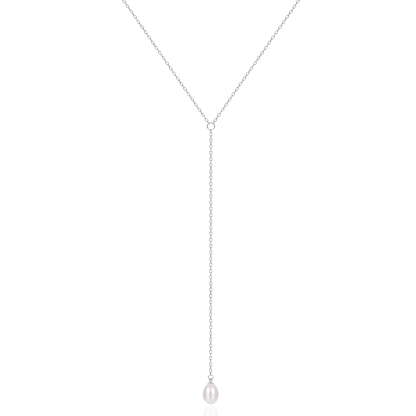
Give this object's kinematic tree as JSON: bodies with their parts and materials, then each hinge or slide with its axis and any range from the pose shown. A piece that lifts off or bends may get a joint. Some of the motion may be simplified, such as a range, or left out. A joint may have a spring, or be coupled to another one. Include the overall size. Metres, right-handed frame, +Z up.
{
  "type": "y chain necklace with pearl drop",
  "caption": "Slim cable-chain neck loop whose straight arms meet at a round ring, with a long chain drop ending in a capped oval pearl.",
  "frame": {"origin": "middle of the clasp at the nape, where the back of the loop rests", "axes": "+Z up, the drop hangs at the front on -Y, +X to the right of someone who faces the drop"},
  "size_m": [0.1188, 0.0705, 0.2381],
  "materials": {
    "silver": "polished sterling silver, bright and slightly cool",
    "nacre": "pearl nacre, satin gloss, white with a faint pink and green overtone"
  },
  "bodies": {
    "root": {"junction_ring": "silver", "left_chain": "silver", "right_chain": "silver", "left_back_chain": "silver", "right_back_chain": "silver", "drop_chain": "silver", "clasp": "silver"},
    "pendant_link": {"pendant_ring": "silver"},
    "pearl_drop": {"pearl_cap": "silver", "pearl": "nacre"}
  },
  "joints": [
    {"name": "ring_swing", "type": "hinge", "parent": "root", "child": "pendant_link", "pos_m": [0, -0.066, -0.22162], "axis": [-0.309, 0.9511, 0], "range_deg": [-70, 70]},
    {"name": "pearl_swing", "type": "hinge", "parent": "pendant_link", "child": "pearl_drop", "pos_m": [0, -0.066, -0.22359], "axis": [0.7431, 0.6691, 0], "range_deg": [-75, 75]}
  ]
}
